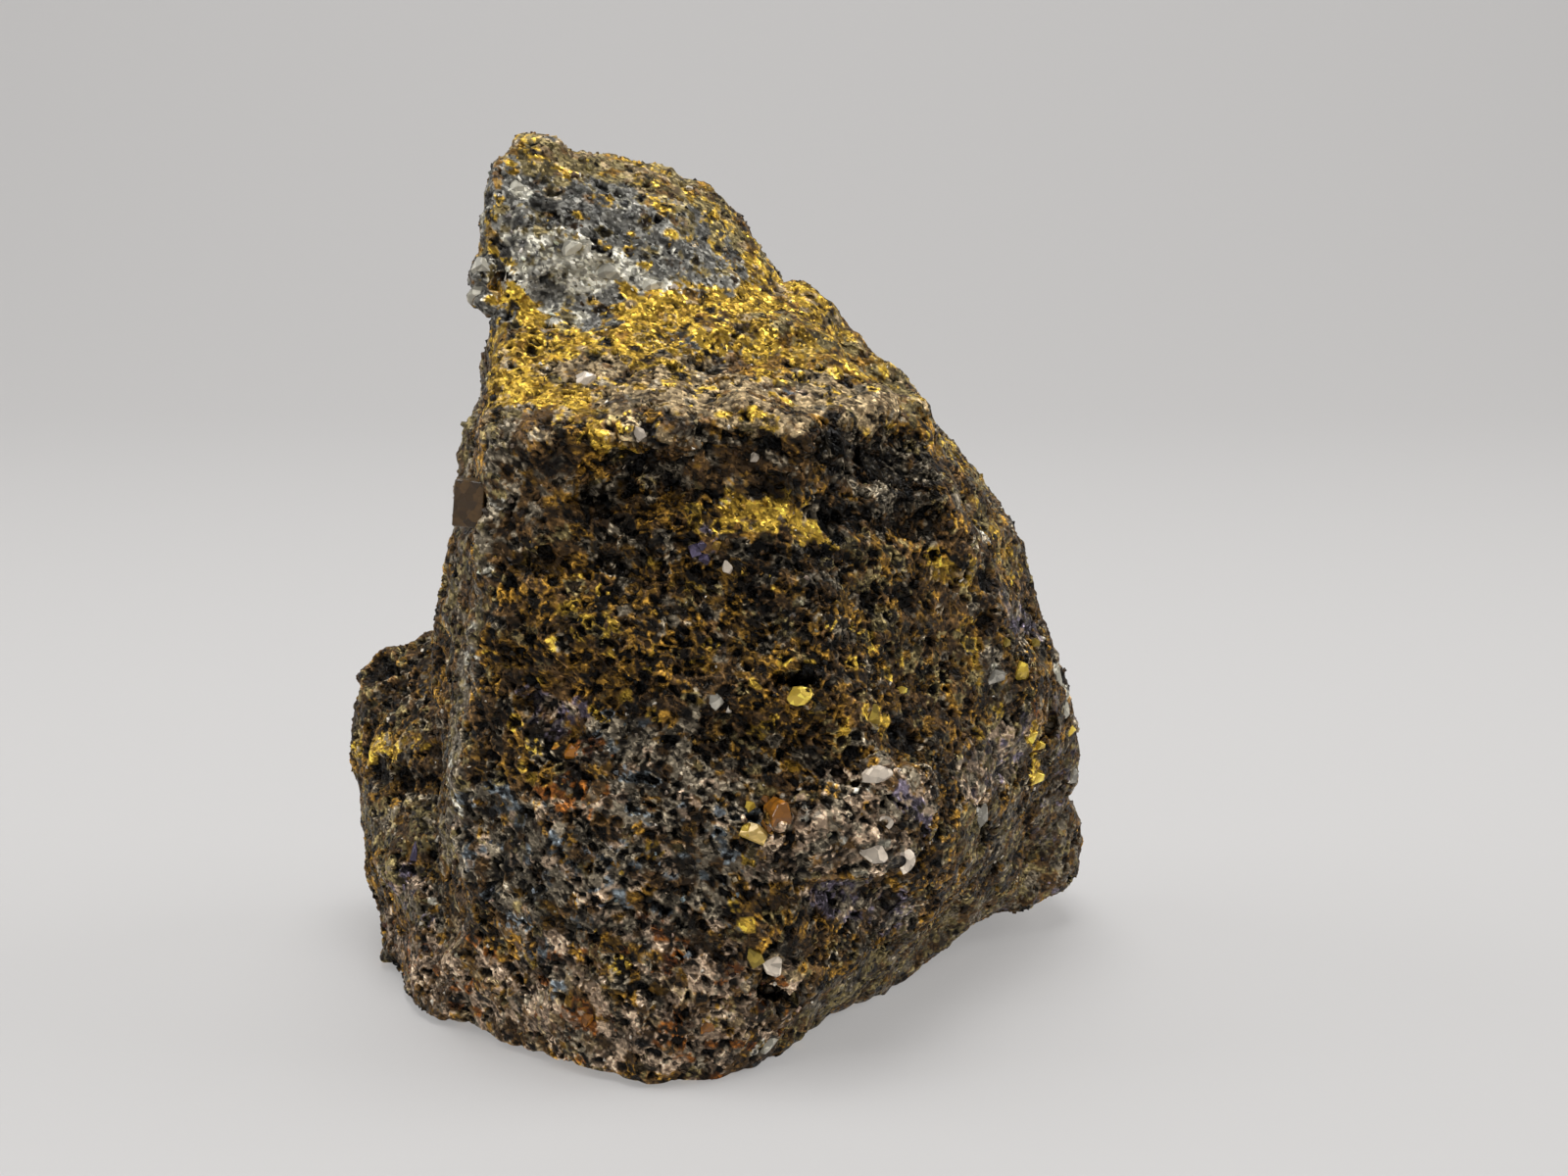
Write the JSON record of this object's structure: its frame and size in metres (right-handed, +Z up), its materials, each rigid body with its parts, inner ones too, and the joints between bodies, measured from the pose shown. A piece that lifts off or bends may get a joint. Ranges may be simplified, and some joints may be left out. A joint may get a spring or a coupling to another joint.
{
  "type": "cobaltite ore specimen",
  "caption": "Upright chunk of granular cobaltite ore with a grey quartz cap and a gold-stained shelf, standing on its own broken base.",
  "frame": {"origin": "on the ground, under the middle of the stone's box", "axes": "+Z up from the broken base, -Y towards the face with the gold-stained shelf, +X to that face's right"},
  "size_m": [0.0436, 0.0304, 0.0465],
  "materials": {
    "ore": "rough and sugary, with fine metallic sparkle"
  },
  "bodies": {
    "root": {"cobaltite_specimen": "ore"}
  },
  "joints": []
}
